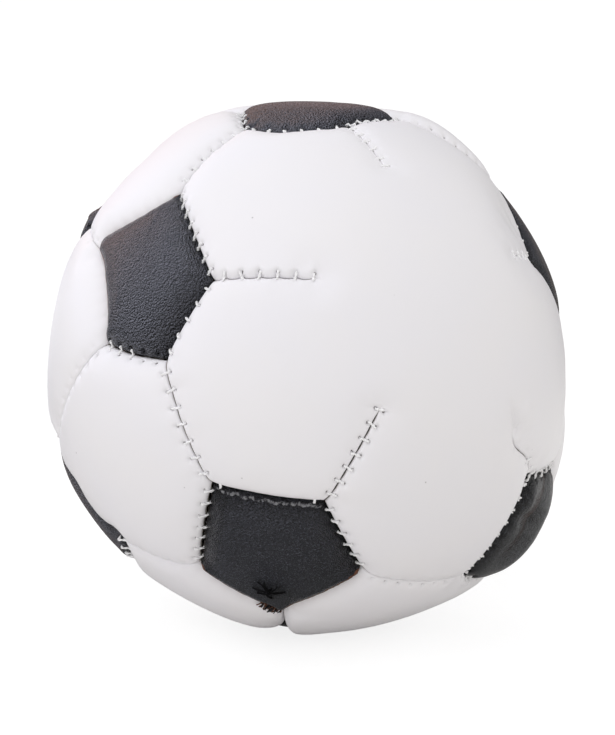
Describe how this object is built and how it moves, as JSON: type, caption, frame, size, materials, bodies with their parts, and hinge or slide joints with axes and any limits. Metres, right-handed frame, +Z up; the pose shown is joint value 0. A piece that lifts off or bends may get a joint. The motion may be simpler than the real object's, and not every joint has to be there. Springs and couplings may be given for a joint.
{
  "type": "footbag",
  "caption": "Small soft kick ball: a stitched vinyl cover in the black and white football pattern, filled with loose pellets, for keeping up with the feet.",
  "frame": {"origin": "the middle of the pressed flat under the bottom black patch, which is also the middle of the base of the part's box", "axes": "+Z up, -Y towards the front, +X to the right as the front is looked at"},
  "size_m": [0.0506, 0.0518, 0.0513],
  "materials": {
    "white_vinyl": "smooth white vinyl leathercloth, semi-gloss",
    "black_vinyl": "black vinyl leathercloth with a fine pebble grain, satin",
    "white_thread": "twisted white polyester sewing thread, matte",
    "black_thread": "twisted black sewing thread, matte",
    "pellets": "small moulded plastic pellets, out of sight"
  },
  "bodies": {
    "root": {"back_lobed_panel": "white_vinyl", "belt_panel_01": "white_vinyl", "belt_panel_02": "white_vinyl", "belt_panel_03": "white_vinyl", "belt_panel_04": "white_vinyl", "belt_panel_05": "white_vinyl", "belt_panel_06": "white_vinyl", "belt_panel_07": "white_vinyl", "belt_panel_08": "white_vinyl", "belt_panel_09": "white_vinyl", "belt_panel_10": "white_vinyl", "bottom_black_patch": "black_vinyl", "bottom_patch_thread": "white_thread", "closing_knot": "black_thread", "front_lobed_panel": "white_vinyl", "left_black_patch": "black_vinyl", "left_patch_thread": "white_thread", "low_front_black_patch": "black_vinyl", "low_front_patch_thread": "white_thread", "low_left_black_patch": "black_vinyl", "low_left_patch_thread": "white_thread", "low_rear_right_black_patch": "black_vinyl", "low_rear_right_patch_thread": "white_thread", "low_right_black_patch": "black_vinyl", "low_right_patch_thread": "white_thread", "panel_seam_thread_01": "white_thread", "panel_seam_thread_02": "white_thread", "panel_seam_thread_03": "white_thread", "panel_seam_thread_04": "white_thread", "panel_seam_thread_05": "white_thread", "panel_seam_thread_06": "white_thread", "panel_seam_thread_07": "white_thread", "panel_seam_thread_08": "white_thread", "panel_seam_thread_09": "white_thread", "panel_seam_thread_10": "white_thread", "panel_seam_thread_11": "white_thread", "panel_seam_thread_12": "white_thread", "panel_seam_thread_13": "white_thread", "panel_seam_thread_14": "white_thread", "panel_seam_thread_15": "white_thread", "panel_seam_thread_16": "white_thread", "panel_seam_thread_17": "white_thread", "panel_seam_thread_18": "white_thread", "panel_seam_thread_19": "white_thread", "panel_seam_thread_20": "white_thread", "pellet_filling": "pellets", "rear_left_black_patch": "black_vinyl", "rear_left_patch_thread": "white_thread", "rear_right_black_patch": "black_vinyl", "rear_right_patch_thread": "white_thread", "right_black_patch": "black_vinyl", "right_patch_thread": "white_thread", "top_black_patch": "black_vinyl", "top_patch_thread": "white_thread"}
  },
  "joints": []
}
